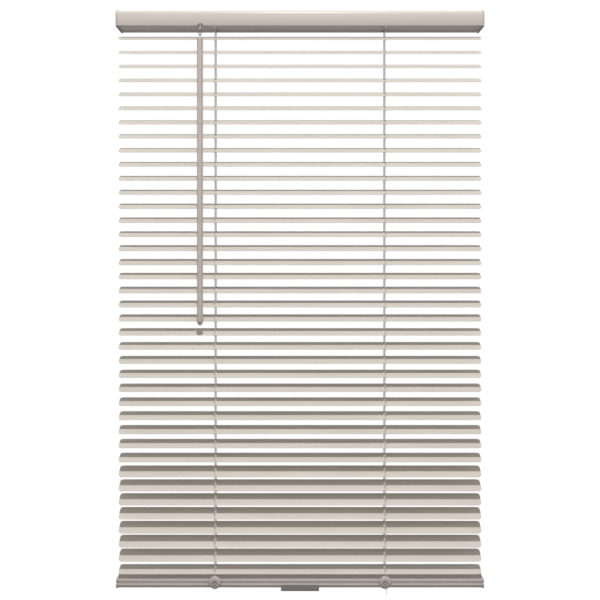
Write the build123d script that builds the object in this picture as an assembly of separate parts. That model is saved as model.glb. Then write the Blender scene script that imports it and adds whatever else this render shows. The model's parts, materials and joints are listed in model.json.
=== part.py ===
"""Cordless vinyl mini blind: headrail, tilter, ladders, slats, bottom rail and tilt wand.

Millimetres, +Z up, -Y is the room side. The origin is the middle of the headrail's back face.
"""
import math
import os

from build123d import *

# Headrail: a roll-formed channel, open at the top between two lips
HEADRAIL_LENGTH = 573.0
HEADRAIL_HEIGHT = 25.0
HEADRAIL_DEPTH = 45.0
HEADRAIL_WALL = 0.7
HEADRAIL_LIP = 7.4
HEADRAIL_CORNER = 1.6
HEADRAIL_CROWN = 1.6
HEADRAIL_BROW = 6.0
CAP_PLATE = 2.5
CAP_PROUD = 0.8
CAP_PLUG_DEPTH = 9.0
CAP_PLUG_WALL = 1.6
CAP_PLUG_GAP = 0.15

# Slats and the places of the two ladders
SLAT_COUNT = 39
SLAT_LENGTH = 573.0
SLAT_WIDTH = 25.4
SLAT_RISE = 2.2
SLAT_THICKNESS = 0.5
SLAT_CORNER = 5.0
SLAT_PITCH = 22.18
SLAT_TILT = 20.0
LOWER_SLAT_TILT = 28.5
LOWER_SLAT_COUNT = 8
LAST_SLAT_TILT = 15.0
FIRST_SLAT_DROP = 13.6
SLAT_LINE = -27.0
LADDER_OFFSET = 134.0
ROUTE_SLOT_LENGTH = 9.0
ROUTE_SLOT_WIDTH = 2.6

# Cords
LADDER_CORD = 0.9
LADDER_SPREAD = 13.6
LADDER_BEND_RADIUS = 60.0
LADDER_BEND_RISE = 6.0
LIFT_CORD = 1.2
LIFT_CORD_BEND = 3.0
CORD_END_GAP = 0.3

# Tilt shaft, drums and the cradles that carry them
ROD_ACROSS_FLATS = 5.0
ROD_DROP = 1.0
ROD_END_REACH = 14.0
ROD_GAP = 0.08
DRUM_RADIUS = 6.5
DRUM_WIDTH = 9.0
DRUM_FLANGE = 1.2
DRUM_FLANGE_PROUD = 1.2
HUB_RADIUS = 4.4
HUB_LENGTH = 3.0
HUB_GAP = 0.08
CRADLE_BASE = 1.2
CRADLE_CHEEK = 2.0
CRADLE_DEPTH = 30.0
CRADLE_RISE = 14.0
CRADLE_SIDE_GAP = 0.4
CRADLE_SHOULDER_SHARE = 0.45
LADDER_PORT_WIDTH = 7.0
LADDER_PORT_LENGTH = 28.0
CORD_NOTCH_GAP = 0.5
BUSHING_GAP = 0.1
BUSHING_WALL = 0.8
BUSHING_LIP = 1.6
BUSHING_RIM = 0.9

# Tilter: worm, gear and case
WAND_OFFSET = -156.5
WORM_LEAN = 25.0
WORM_RADIUS = 3.0
WORM_LENGTH = 10.0
WORM_GROOVE_COUNT = 4
WORM_GROOVE_DEPTH = 0.7
WORM_GROOVE_WIDTH_SHARE = 0.5
GEAR_TEETH = 14
GEAR_RADIUS = 6.2
GEAR_ROOT_SHARE = 0.82
GEAR_WIDTH = 7.0
GEAR_FLANK = 80.0
MESH_GAP = 0.3
CASE_WALL = 1.6
CASE_ROOM = 0.5
CASE_FILLET = 1.5
STEM_RADIUS = 1.9
STEM_RUN_GAP = 0.1
EYE_RADIUS = 2.5
EYE_BORE = 1.6
EYE_THICKNESS = 1.4
EYE_FORWARD = 2.0
STEM_PORT_WIDTH = 8.0
STEM_PORT_HEIGHT = 4.0
STEM_PORT_DEPTH = 5.8

# Wand with its wire hook and sleeve
HOOK_WIRE = 1.0
HOOK_LOOP_RADIUS = 2.4
HOOK_SHANK = 14.0
SLEEVE_RADIUS = 2.4
SLEEVE_LENGTH = 3.8
SLEEVE_FLARE = 0.5
SLEEVE_GAP = 0.02
WAND_ACROSS_FLATS = 8.2
WAND_LENGTH = 450.5
WAND_NECK_TAPER = 2.0
WAND_NECK_SHARE = 0.62
WAND_TIP_LENGTH = 11.0
WAND_TIP_PROUD = 0.6
WAND_TIP_POINT_SHARE = 0.45
WAND_TIP_SEAT = 5.0

# Cordless lift unit
LIFT_UNIT_LENGTH = 112.0
LIFT_UNIT_DEPTH = 30.0
LIFT_UNIT_HEIGHT = 18.5
LIFT_UNIT_FILLET = 2.5
LIFT_REEL_RADIUS = 11.5
LIFT_REEL_RISE = 1.4
LIFT_REEL_SPACING = 27.0
LIFT_ROD_ROOM = 1.0

# Bottom rail
BOTTOM_LENGTH = 573.0
BOTTOM_DEPTH = 25.2
BOTTOM_HEIGHT = 12.6
BOTTOM_WALL = 1.4
BOTTOM_DROP = 20.3
BOTTOM_BROW = 1.6
BOTTOM_STEP = 0.6
BOTTOM_GROOVE = 2.2
BOTTOM_GROOVE_WIDTH = 0.8
BOTTOM_RIDGE_RISE = 5.6
BOTTOM_RIDGE_FLAT = 1.6
BOTTOM_RIDGE_ROUND = 0.5
BOTTOM_FOOT = 1.8
BOTTOM_CAP_PLATE = 3.0
BOTTOM_CAP_PROUD = 0.7
BOTTOM_CAP_PLUG = 8.0
BOTTOM_CAP_GAP = 0.15
LIFT_CORD_BORE_GAP = 0.6
BUTTON_RADIUS = 10.0
BUTTON_LIFT = 2.4
BUTTON_RIM = 2.2
BUTTON_DOME = 1.6
BUTTON_BULGE_SHARE = 0.5
BUTTON_WELL_RADIUS = 4.2
BUTTON_WELL_DEPTH = 1.8
HANDLE_WIDTH = 60.0
HANDLE_THICKNESS = 2.4
HANDLE_LAP = 5.0
HANDLE_DROP = 5.2
HANDLE_CORNER = 1.5
HANDLE_LIP = 3.0
HANDLE_TOE = 3.6

OVERRUN = 1.0

# Places worked out from the sizes above
headrail_floor = -HEADRAIL_HEIGHT / 2
headrail_top = HEADRAIL_HEIGHT / 2
headrail_front = -HEADRAIL_DEPTH
channel_floor = headrail_floor + HEADRAIL_WALL
first_slat_height = headrail_floor - FIRST_SLAT_DROP
last_slat_height = first_slat_height - SLAT_PITCH * (SLAT_COUNT - 1)
bottom_height = last_slat_height - BOTTOM_DROP
rod_height = -ROD_DROP
rod_half_corner = ROD_ACROSS_FLATS / math.sqrt(3)
worm_distance = GEAR_RADIUS + WORM_RADIUS + MESH_GAP
lean_sine = math.sin(math.radians(WORM_LEAN))
lean_cosine = math.cos(math.radians(WORM_LEAN))
worm_place = Vector(
    WAND_OFFSET,
    SLAT_LINE - worm_distance * lean_cosine,
    rod_height + worm_distance * lean_sine,
)
worm_way = Vector(0, -lean_sine, -lean_cosine)
eye_run = (worm_place.Y - (headrail_front - EYE_FORWARD)) / lean_sine
eye_place = worm_place + worm_way * eye_run
ladder_places = (-LADDER_OFFSET, LADDER_OFFSET)


def along_x(section, length, start=0.0):
    """Extrude a YZ section along X from the given place."""
    return Pos(start, 0, 0) * extrude(section, amount=length, dir=(1, 0, 0))


def channel_outline(proud=0.0, inset=0.0):
    """Headrail outline in the YZ plane: flat back, top and floor, gently crowned front."""
    front = headrail_front - proud + inset
    back = -inset
    low = headrail_floor - proud + inset
    high = headrail_top + proud - inset
    with BuildSketch(Plane.YZ) as sketch:
        with BuildLine():
            Line((back, low), (front + HEADRAIL_CROWN, low))
            ThreePointArc(
                (front + HEADRAIL_CROWN, low),
                (front, (low + high) / 2),
                (front + HEADRAIL_CROWN, high),
            )
            Line((front + HEADRAIL_CROWN, high), (back, high))
            Line((back, high), (back, low))
        make_face()
        corners = sketch.vertices()
        brow = corners.sort_by(Axis.X)[:2].sort_by(Axis.Y)[-1]
        others = [corner for corner in corners if corner != brow]
        fillet(others, HEADRAIL_CORNER - min(inset, HEADRAIL_CORNER / 2))
        brow = sketch.vertices().sort_by_distance((front + HEADRAIL_CROWN, high))[0]
        fillet(brow, HEADRAIL_BROW + proud - inset)
    return sketch.sketch


def make_headrail():
    """Thin channel with lips, ports for the ladders and an arched port for the tilter stem."""
    half = HEADRAIL_LENGTH / 2
    shell = along_x(channel_outline(), HEADRAIL_LENGTH, -half)
    shell -= along_x(channel_outline(inset=HEADRAIL_WALL), HEADRAIL_LENGTH, -half)
    mouth = HEADRAIL_DEPTH - 2 * HEADRAIL_LIP
    shell -= Pos(0, headrail_front / 2, headrail_top) * Box(HEADRAIL_LENGTH, mouth, 2 * HEADRAIL_CORNER)
    for place in ladder_places:
        port = SlotOverall(LADDER_PORT_LENGTH, LADDER_PORT_WIDTH, rotation=90)
        cut = extrude(port, amount=HEADRAIL_WALL + OVERRUN, both=True)
        shell -= Pos(place, SLAT_LINE, headrail_floor) * cut
    arch = RectangleRounded(STEM_PORT_WIDTH, 2 * STEM_PORT_HEIGHT, STEM_PORT_WIDTH / 2 - HEADRAIL_WALL)
    cut = extrude(Plane.XZ * arch, amount=STEM_PORT_DEPTH, both=True)
    shell -= Pos(WAND_OFFSET, headrail_front, headrail_floor) * cut
    return shell


def make_headrail_cap(side):
    """End cap: a plate a little larger than the channel, with a hollow plug inside it."""
    plate = along_x(channel_outline(proud=CAP_PROUD), CAP_PLATE)
    gap = HEADRAIL_WALL + CAP_PLUG_GAP
    plug = along_x(channel_outline(inset=gap), CAP_PLUG_DEPTH, -CAP_PLUG_DEPTH)
    plug -= along_x(channel_outline(inset=gap + CAP_PLUG_WALL), CAP_PLUG_DEPTH, -CAP_PLUG_DEPTH)
    cap = Pos(HEADRAIL_LENGTH / 2, 0, 0) * (plate + plug)
    return cap if side > 0 else mirror(cap, Plane.YZ)


def slat_section():
    """Arched slat section, with the hinge line through the middle of the crown."""
    high = SLAT_THICKNESS / 2
    edge = SLAT_WIDTH / 2
    with BuildSketch(Plane.YZ) as sketch:
        with BuildLine():
            ThreePointArc((-edge, high - SLAT_RISE), (0, high), (edge, high - SLAT_RISE))
            Line((edge, high - SLAT_RISE), (edge, -high - SLAT_RISE))
            ThreePointArc((edge, -high - SLAT_RISE), (0, -high), (-edge, -high - SLAT_RISE))
            Line((-edge, -high - SLAT_RISE), (-edge, high - SLAT_RISE))
        make_face()
    return sketch.sketch


def make_slat():
    """Arched slat with rounded corners and a route slot at each ladder, before it is hung."""
    slat = along_x(slat_section(), SLAT_LENGTH, -SLAT_LENGTH / 2)
    plan = RectangleRounded(SLAT_LENGTH, SLAT_WIDTH, SLAT_CORNER)
    for place in ladder_places:
        plan -= Pos(place, 0) * SlotOverall(ROUTE_SLOT_LENGTH, ROUTE_SLOT_WIDTH, rotation=90)
    return slat & extrude(plan, amount=SLAT_WIDTH, both=True)


def hang_slat(slat, row):
    """Tilt a slat, room edge down, and hang it in its row. The lower rows hang steeper, the last flatter."""
    height = first_slat_height - SLAT_PITCH * row
    tilt = SLAT_TILT if row < SLAT_COUNT - LOWER_SLAT_COUNT else LOWER_SLAT_TILT
    if row == SLAT_COUNT - 1:
        tilt = LAST_SLAT_TILT
    return Pos(0, SLAT_LINE, height) * Rot(tilt, 0, 0) * slat


def cord_tube(points, radii, diameter):
    """Round tube along straight runs joined by tangent arcs."""
    path = FilletPolyline(*points, radius=radii)
    start = Plane(path @ 0, z_dir=path % 0)
    tube = sweep(start * Circle(diameter / 2), path)
    print("cord radii", [round(radius, 1) for radius in radii], "length", round(path.length, 1))
    return tube


def make_ladder_cords():
    """Two strings to each ladder, from the drum out to the slat edges and straight down."""
    foot = bottom_height + BUTTON_LIFT + BUTTON_RADIUS + CORD_END_GAP
    cords = []
    for place in ladder_places:
        for side in (-1, 1):
            drum_side = SLAT_LINE + side * (DRUM_RADIUS + LADDER_CORD)
            string_side = SLAT_LINE + side * LADDER_SPREAD
            bend = first_slat_height + LADDER_BEND_RISE
            points = [(place, drum_side, rod_height), (place, string_side, bend), (place, string_side, foot)]
            cords.append(cord_tube(points, [LADDER_BEND_RADIUS], LADDER_CORD))
    return cords


def lift_cord_height():
    """Height of the lift cord's level run inside the headrail."""
    return channel_floor + CRADLE_BASE + LIFT_CORD


def make_lift_cords():
    """One cord to each ladder: level from the lift unit, over the cradle and down to the rail."""
    foot = bottom_height + BOTTOM_HEIGHT / 2 - BOTTOM_WALL
    high = lift_cord_height()
    cords = []
    for place in ladder_places:
        inner = math.copysign(LIFT_UNIT_LENGTH / 2 + CORD_END_GAP, place)
        points = [(inner, SLAT_LINE, high), (place, SLAT_LINE, high), (place, SLAT_LINE, foot)]
        cords.append(cord_tube(points, [LIFT_CORD_BEND], LIFT_CORD))
    return cords


def make_tilt_rod():
    """Hexagonal shaft from the tilter to past the far drum."""
    start = WAND_OFFSET - ROD_END_REACH
    length = LADDER_OFFSET + ROD_END_REACH - start
    section = Plane.YZ * RegularPolygon(ROD_ACROSS_FLATS / 2, 6, major_radius=False)
    return Pos(0, SLAT_LINE, rod_height) * along_x(section, length, start)


def rod_bore(length):
    """Hexagonal bore that slides on the shaft."""
    section = Plane.YZ * RegularPolygon(ROD_ACROSS_FLATS / 2 + ROD_GAP, 6, major_radius=False)
    return along_x(section, length + 2 * OVERRUN, -length / 2 - OVERRUN)


def make_drum():
    """Flanged drum with a hub at each end, on the shaft's own line."""
    reach = DRUM_WIDTH / 2 + HUB_LENGTH
    rim = DRUM_WIDTH / 2
    groove = rim - DRUM_FLANGE
    with BuildSketch(Plane.XZ) as sketch:
        with BuildLine():
            Polyline(
                (-reach, 0),
                (-reach, HUB_RADIUS),
                (-rim, HUB_RADIUS),
                (-rim, DRUM_RADIUS + DRUM_FLANGE_PROUD),
                (-groove, DRUM_RADIUS + DRUM_FLANGE_PROUD),
                (-groove, DRUM_RADIUS),
                (groove, DRUM_RADIUS),
                (groove, DRUM_RADIUS + DRUM_FLANGE_PROUD),
                (rim, DRUM_RADIUS + DRUM_FLANGE_PROUD),
                (rim, HUB_RADIUS),
                (reach, HUB_RADIUS),
                (reach, 0),
                close=True,
            )
        make_face()
    return revolve(sketch.sketch, Axis.X) - rod_bore(2 * reach)


def make_drums():
    """Both drums on the shaft."""
    drum = make_drum()
    return [Pos(place, SLAT_LINE, rod_height) * drum for place in ladder_places]


def make_cradle():
    """Base plate with two cheeks that carry the drum's hubs, on the ladder's own line."""
    floor = channel_floor - rod_height
    inner = DRUM_WIDTH / 2 + CRADLE_SIDE_GAP
    width = 2 * (inner + CRADLE_CHEEK)
    base = Pos(0, 0, floor + CRADLE_BASE / 2) * Box(width, CRADLE_DEPTH, CRADLE_BASE)
    base += Pos(0, 0, floor) * make_bushing()
    wall = 2 * (BUSHING_GAP + BUSHING_WALL)
    way = SlotOverall(LADDER_PORT_LENGTH - wall, LADDER_PORT_WIDTH - wall, rotation=90)
    base -= Pos(0, 0, floor) * extrude(way, amount=CRADLE_BASE + HEADRAIL_WALL + BUSHING_RIM, both=True)
    top = floor + CRADLE_BASE + CRADLE_RISE
    shoulder = CRADLE_DEPTH / 2 * CRADLE_SHOULDER_SHARE
    with BuildSketch(Plane.YZ) as sketch:
        with BuildLine():
            Polyline(
                (-CRADLE_DEPTH / 2, floor),
                (CRADLE_DEPTH / 2, floor),
                (shoulder, top),
                (-shoulder, top),
                close=True,
            )
        make_face()
        Circle(HUB_RADIUS + HUB_GAP, mode=Mode.SUBTRACT)
    cheek = sketch.sketch
    cradle = base + along_x(cheek, CRADLE_CHEEK, inner) + along_x(cheek, CRADLE_CHEEK, -inner - CRADLE_CHEEK)
    notch = extrude(Plane.YZ * Circle(LIFT_CORD / 2 + CORD_NOTCH_GAP), amount=width, both=True)
    return cradle - Pos(0, 0, lift_cord_height() - rod_height) * notch


def make_bushing():
    """Collar down through the ladder port with a rim under the headrail, from the channel's floor."""
    gap = 2 * BUSHING_GAP
    lip = 2 * BUSHING_LIP
    collar = SlotOverall(LADDER_PORT_LENGTH - gap, LADDER_PORT_WIDTH - gap, rotation=90)
    rim = SlotOverall(LADDER_PORT_LENGTH + lip, LADDER_PORT_WIDTH + lip, rotation=90)
    bushing = extrude(collar, amount=-HEADRAIL_WALL - BUSHING_RIM)
    return bushing + Pos(0, 0, -HEADRAIL_WALL) * extrude(rim, amount=-BUSHING_RIM)


def make_cradles():
    """Both cradles on the channel's floor."""
    cradle = make_cradle()
    return [Pos(place, SLAT_LINE, rod_height) * cradle for place in ladder_places]


def make_gear():
    """Toothed wheel on the shaft, driven by the worm."""
    root = GEAR_RADIUS * GEAR_ROOT_SHARE
    tooth_pitch = 2 * math.pi * GEAR_RADIUS / GEAR_TEETH
    gear = Plane.YZ * Circle(root)
    tooth_height = GEAR_RADIUS - root
    for tooth in range(GEAR_TEETH):
        turn = 360 * tooth / GEAR_TEETH
        blank = Trapezoid(tooth_pitch / 2, 2 * tooth_height, GEAR_FLANK)
        gear += Plane.YZ * Rot(0, 0, turn) * Pos(0, root) * blank
    gear &= Plane.YZ * Circle(GEAR_RADIUS)
    wheel = along_x(gear, GEAR_WIDTH, -GEAR_WIDTH / 2) - rod_bore(GEAR_WIDTH)
    return Pos(WAND_OFFSET, SLAT_LINE, rod_height) * wheel


def worm_frame():
    """Frame on the worm's axis at the gear, with Z down the stem."""
    return Plane(origin=worm_place, x_dir=(1, 0, 0), z_dir=worm_way)


def make_worm():
    """Ridged worm, its stem out of the headrail, and the flat eye that takes the wand's hook."""
    half = WORM_LENGTH / 2
    stem_end = eye_run - EYE_RADIUS * lean_cosine
    worm = Cylinder(WORM_RADIUS, WORM_LENGTH)
    ridge_pitch = WORM_LENGTH / (WORM_GROOVE_COUNT + 1)
    groove_width = ridge_pitch * WORM_GROOVE_WIDTH_SHARE
    for index in range(WORM_GROOVE_COUNT):
        height = -half + ridge_pitch * (index + 1)
        band = Cylinder(WORM_RADIUS + OVERRUN, groove_width)
        band -= Cylinder(WORM_RADIUS - WORM_GROOVE_DEPTH, groove_width)
        worm -= Pos(0, 0, height) * band
    worm += Pos(0, 0, stem_end / 2) * Cylinder(STEM_RADIUS, stem_end)
    eye = extrude(Plane.YZ * Circle(EYE_RADIUS), amount=EYE_THICKNESS / 2, both=True)
    worm += Pos(0, 0, eye_run) * eye
    bore = extrude(Plane.YZ * Circle(EYE_BORE), amount=STEM_RADIUS + OVERRUN, both=True)
    worm -= Pos(0, 0, eye_run) * bore
    return worm_frame() * worm


def make_tilter_case():
    """Moulded case with room for the worm and the gear, standing on the channel's floor."""
    room = CASE_ROOM
    half_width = GEAR_WIDTH / 2 + room + CASE_WALL
    front = worm_place.Y - WORM_RADIUS - room - CASE_WALL
    back = SLAT_LINE + GEAR_RADIUS + room + CASE_WALL
    top = headrail_top - HEADRAIL_WALL - room
    depth = back - front
    height = top - channel_floor
    middle = Pos(WAND_OFFSET, (front + back) / 2, (top + channel_floor) / 2)
    block = middle * Box(2 * half_width, depth, height)
    block = fillet(block.edges().filter_by(Axis.X), CASE_FILLET)
    gear_room = Plane.YZ * Circle(GEAR_RADIUS + room)
    gear_width = GEAR_WIDTH + 2 * room
    block -= Pos(WAND_OFFSET, SLAT_LINE, rod_height) * along_x(gear_room, gear_width, -gear_width / 2)
    block -= worm_frame() * Cylinder(WORM_RADIUS + room, WORM_LENGTH + 2 * room)
    block -= worm_frame() * Pos(0, 0, eye_run / 2) * Cylinder(STEM_RADIUS + STEM_RUN_GAP, eye_run)
    rod_room = Plane.YZ * Circle(rod_half_corner + STEM_RUN_GAP)
    block -= Pos(WAND_OFFSET, SLAT_LINE, rod_height) * along_x(rod_room, 2 * half_width, -half_width)
    return block


def make_wand_hook():
    """Wire ring through the stem's eye, with a straight shank down into the wand."""
    ring = Plane.XZ * Torus(HOOK_LOOP_RADIUS, HOOK_WIRE / 2)
    ring = Pos(0, 0, -HOOK_LOOP_RADIUS) * ring
    shank_top = -2 * HOOK_LOOP_RADIUS
    shank = Pos(0, 0, shank_top - HOOK_SHANK / 2) * Cylinder(HOOK_WIRE / 2, HOOK_SHANK)
    return Pos(*eye_place) * (ring + shank)


def sleeve_top():
    """Height of the sleeve's upper rim, just under the ring's lowest bend."""
    return eye_place.Z - 2 * HOOK_LOOP_RADIUS - HOOK_WIRE


def make_wand_sleeve():
    """Short flared sleeve round the hook's shank."""
    waist = SLEEVE_RADIUS - SLEEVE_FLARE
    with BuildSketch(Plane.XZ) as sketch:
        with BuildLine():
            inner = HOOK_WIRE / 2 + SLEEVE_GAP
            Line((inner, 0), (SLEEVE_RADIUS, 0))
            ThreePointArc(
                (SLEEVE_RADIUS, 0),
                (waist, -SLEEVE_LENGTH / 2),
                (SLEEVE_RADIUS, -SLEEVE_LENGTH),
            )
            Line((SLEEVE_RADIUS, -SLEEVE_LENGTH), (inner, -SLEEVE_LENGTH))
            Line((inner, -SLEEVE_LENGTH), (inner, 0))
        make_face()
    return Pos(eye_place.X, eye_place.Y, sleeve_top()) * revolve(sketch.sketch, Axis.Z)


def wand_top():
    """Height of the wand's upper end, below the sleeve."""
    return sleeve_top() - SLEEVE_LENGTH


def make_wand():
    """Hexagonal wand with a tapered neck and a bore for the hook's shank."""
    neck = RegularPolygon(WAND_ACROSS_FLATS / 2 * WAND_NECK_SHARE, 6, major_radius=False)
    body = RegularPolygon(WAND_ACROSS_FLATS / 2, 6, major_radius=False)
    taper = loft([neck, Pos(0, 0, -WAND_NECK_TAPER) * body])
    rest = WAND_LENGTH - WAND_NECK_TAPER - WAND_TIP_LENGTH + WAND_TIP_SEAT
    shaft = Pos(0, 0, -WAND_NECK_TAPER) * extrude(body, amount=-rest)
    bore_depth = HOOK_SHANK - SLEEVE_LENGTH
    bore = Cylinder(HOOK_WIRE / 2 + SLEEVE_GAP, 2 * bore_depth)
    return Pos(eye_place.X, eye_place.Y, wand_top()) * (taper + shaft - bore)


def make_wand_tip():
    """Moulded tip cap, a hexagonal cup that narrows to a blunt point."""
    outer = RegularPolygon(WAND_ACROSS_FLATS / 2 + WAND_TIP_PROUD, 6, major_radius=False)
    point = RegularPolygon(WAND_ACROSS_FLATS / 2 * WAND_TIP_POINT_SHARE, 6, major_radius=False)
    seat = RegularPolygon(WAND_ACROSS_FLATS / 2, 6, major_radius=False)
    cup = extrude(outer, amount=-WAND_TIP_SEAT) - extrude(seat, amount=-WAND_TIP_SEAT)
    nose = loft([Pos(0, 0, -WAND_TIP_SEAT) * outer, Pos(0, 0, -WAND_TIP_LENGTH) * point])
    top = wand_top() - WAND_LENGTH + WAND_TIP_LENGTH
    return Pos(eye_place.X, eye_place.Y, top) * (cup + nose)


def make_lift_unit():
    """Closed case of the spring lift, with two round reel covers and a way through for the shaft."""
    middle = channel_floor + LIFT_UNIT_HEIGHT / 2
    case = Pos(0, SLAT_LINE, middle) * Box(LIFT_UNIT_LENGTH, LIFT_UNIT_DEPTH, LIFT_UNIT_HEIGHT)
    case = fillet(case.edges().filter_by(Axis.Z), LIFT_UNIT_FILLET)
    for side in (-1, 1):
        cover = Cylinder(LIFT_REEL_RADIUS, 2 * LIFT_REEL_RISE)
        case += Pos(side * LIFT_REEL_SPACING, SLAT_LINE, channel_floor + LIFT_UNIT_HEIGHT) * cover
    way = Plane.YZ * Circle(rod_half_corner + LIFT_ROD_ROOM)
    return case - Pos(0, SLAT_LINE, rod_height) * along_x(way, LIFT_UNIT_LENGTH, -LIFT_UNIT_LENGTH / 2)


def rail_outline(proud=0.0):
    """Bottom rail outline in the YZ plane: on each side a brow and a lower ridge with a groove between."""
    edge = BOTTOM_DEPTH / 2 + proud
    high = BOTTOM_HEIGHT / 2 + proud
    ridge = -BOTTOM_HEIGHT / 2 + BOTTOM_RIDGE_RISE + proud
    brow = (edge - BOTTOM_STEP, high)
    groove_top = (edge - BOTTOM_GROOVE, ridge + BOTTOM_GROOVE_WIDTH)
    groove_foot = (edge - BOTTOM_GROOVE, ridge)
    nose = (edge, ridge)
    chin = (edge, ridge - BOTTOM_RIDGE_FLAT - 2 * proud)
    foot = (edge - BOTTOM_FOOT, -high)
    side = [brow, groove_top, groove_foot, nose, chin, foot]
    other = [(-across, up) for across, up in reversed(side)]
    with BuildSketch(Plane.YZ) as sketch:
        with BuildLine():
            Polyline(*side, *other, close=True)
        make_face()
        brows = sketch.vertices().sort_by(Axis.Y)[-2:]
        fillet(brows, BOTTOM_BROW)
        tips = [sketch.vertices().sort_by_distance((sign * nose[0], nose[1]))[0] for sign in (-1, 1)]
        fillet(tips, BOTTOM_RIDGE_ROUND)
        feet = sketch.vertices().sort_by(Axis.Y)[:2]
        fillet(feet, BOTTOM_RIDGE_ROUND)
    return sketch.sketch


def rail_core(gap=0.0):
    """Plain hollow of the bottom rail, in the YZ plane."""
    depth = BOTTOM_DEPTH - 2 * (BOTTOM_GROOVE + BOTTOM_WALL + gap)
    height = BOTTOM_HEIGHT - 2 * (BOTTOM_WALL + gap)
    return Plane.YZ * RectangleRounded(depth, height, BOTTOM_BROW)


def make_bottom_rail():
    """Hollow extruded rail, ridged along both sides, with a bore for each lift cord."""
    half = BOTTOM_LENGTH / 2
    rail = along_x(rail_outline(), BOTTOM_LENGTH, -half)
    rail -= along_x(rail_core(), BOTTOM_LENGTH, -half)
    for place in ladder_places:
        bore = Cylinder(LIFT_CORD / 2 + LIFT_CORD_BORE_GAP, 2 * BOTTOM_WALL + OVERRUN)
        rail -= Pos(place, 0, BOTTOM_HEIGHT / 2) * bore
    return Pos(0, SLAT_LINE, bottom_height) * rail


def make_bottom_cap(side):
    """End cap: a plate with the rail's outline, a little larger than it, and a plug inside the rail."""
    plate = along_x(rail_outline(proud=BOTTOM_CAP_PROUD), BOTTOM_CAP_PLATE)
    plug = rail_core(BOTTOM_CAP_GAP)
    cap = plate + along_x(plug, BOTTOM_CAP_PLUG, -BOTTOM_CAP_PLUG)
    cap = Pos(BOTTOM_LENGTH / 2, SLAT_LINE, bottom_height) * cap
    return cap if side > 0 else mirror(cap, Plane.YZ)


def make_buttons():
    """Round ladder buttons, domed, with a well for the knot, on the rail's room side."""
    seat = SLAT_LINE - BOTTOM_DEPTH / 2
    with BuildSketch(Plane.XZ) as sketch:
        with BuildLine():
            Line((0, 0), (BUTTON_RADIUS, 0))
            Line((BUTTON_RADIUS, 0), (BUTTON_RADIUS, BUTTON_RIM - BUTTON_DOME))
            dome_middle = (BUTTON_RADIUS + BUTTON_WELL_RADIUS) / 2
            ThreePointArc(
                (BUTTON_RADIUS, BUTTON_RIM - BUTTON_DOME),
                (dome_middle, BUTTON_RIM + BUTTON_DOME * BUTTON_BULGE_SHARE),
                (BUTTON_WELL_RADIUS, BUTTON_RIM + BUTTON_DOME),
            )
            Line((BUTTON_WELL_RADIUS, BUTTON_RIM + BUTTON_DOME), (BUTTON_WELL_RADIUS, BUTTON_WELL_DEPTH))
            Line((BUTTON_WELL_RADIUS, BUTTON_WELL_DEPTH), (0, BUTTON_WELL_DEPTH))
            Line((0, BUTTON_WELL_DEPTH), (0, 0))
        make_face()
    button = Rot(90, 0, 0) * revolve(sketch.sketch, Axis.Z)
    return [Pos(place, seat, bottom_height + BUTTON_LIFT) * button for place in ladder_places]


def make_handle():
    """Lift handle: a plate on the rail's room side that hangs below it and curls back for the fingers."""
    seat = -BOTTOM_DEPTH / 2
    top = -BOTTOM_HEIGHT / 2 + HANDLE_LAP
    foot = -BOTTOM_HEIGHT / 2 - HANDLE_DROP
    with BuildSketch(Plane.YZ) as sketch:
        with BuildLine():
            Polyline(
                (seat, top),
                (seat, foot + HANDLE_TOE),
                (seat + HANDLE_LIP, foot),
                (seat + HANDLE_LIP - HANDLE_THICKNESS, foot),
                (seat - HANDLE_THICKNESS, foot + HANDLE_TOE),
                (seat - HANDLE_THICKNESS, top),
                close=True,
            )
        make_face()
    plate = along_x(sketch.sketch, HANDLE_WIDTH, -HANDLE_WIDTH / 2)
    height = top - foot
    front_view = Plane.XZ * RectangleRounded(HANDLE_WIDTH, height, HANDLE_CORNER)
    trim = Pos(0, 0, (top + foot) / 2) * extrude(front_view, amount=BOTTOM_DEPTH, both=True)
    return Pos(0, SLAT_LINE, bottom_height) * (plate & trim)


def save(name, shape):
    """Write one piece, or a group of like pieces, as its own node."""
    solids = shape if isinstance(shape, list) else [shape]
    parts = [solid for item in solids for solid in item.solids()]
    export_step(parts[0] if len(parts) == 1 else Compound(children=parts), f"parts/{name}.step")


os.makedirs("parts", exist_ok=True)
save("headrail", make_headrail())
save("headrail_left_cap", make_headrail_cap(-1))
save("headrail_right_cap", make_headrail_cap(1))
save("tilter_case", make_tilter_case())
save("tilter_worm", make_worm())
save("tilter_gear", make_gear())
save("tilt_rod", make_tilt_rod())
save("ladder_drums", make_drums())
save("drum_cradles", make_cradles())
save("lift_unit", make_lift_unit())
save("ladder_cords", make_ladder_cords())
save("lift_cords", make_lift_cords())
save("wand_hook", make_wand_hook())
save("wand_sleeve", make_wand_sleeve())
save("wand", make_wand())
save("wand_tip", make_wand_tip())
save("bottom_rail", make_bottom_rail())
save("bottom_left_cap", make_bottom_cap(-1))
save("bottom_right_cap", make_bottom_cap(1))
save("ladder_buttons", make_buttons())
save("lift_handle", make_handle())
plain_slat = make_slat()
for row in range(SLAT_COUNT):
    save(f"slat_{row + 1:02d}", hang_slat(plain_slat, row))
print("eye", [round(value, 3) for value in eye_place], "bottom rail", round(bottom_height, 3))
print("worm", [round(value, 3) for value in worm_place], "rod", SLAT_LINE, rod_height)
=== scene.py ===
"""Vinyl mini blind: finishes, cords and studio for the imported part. An add-on layout, run as a script."""
import json
import math

import bmesh
import bpy
from bpy.props import FloatProperty, FloatVectorProperty, IntProperty, PointerProperty
from mathutils import Matrix, Vector


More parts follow.
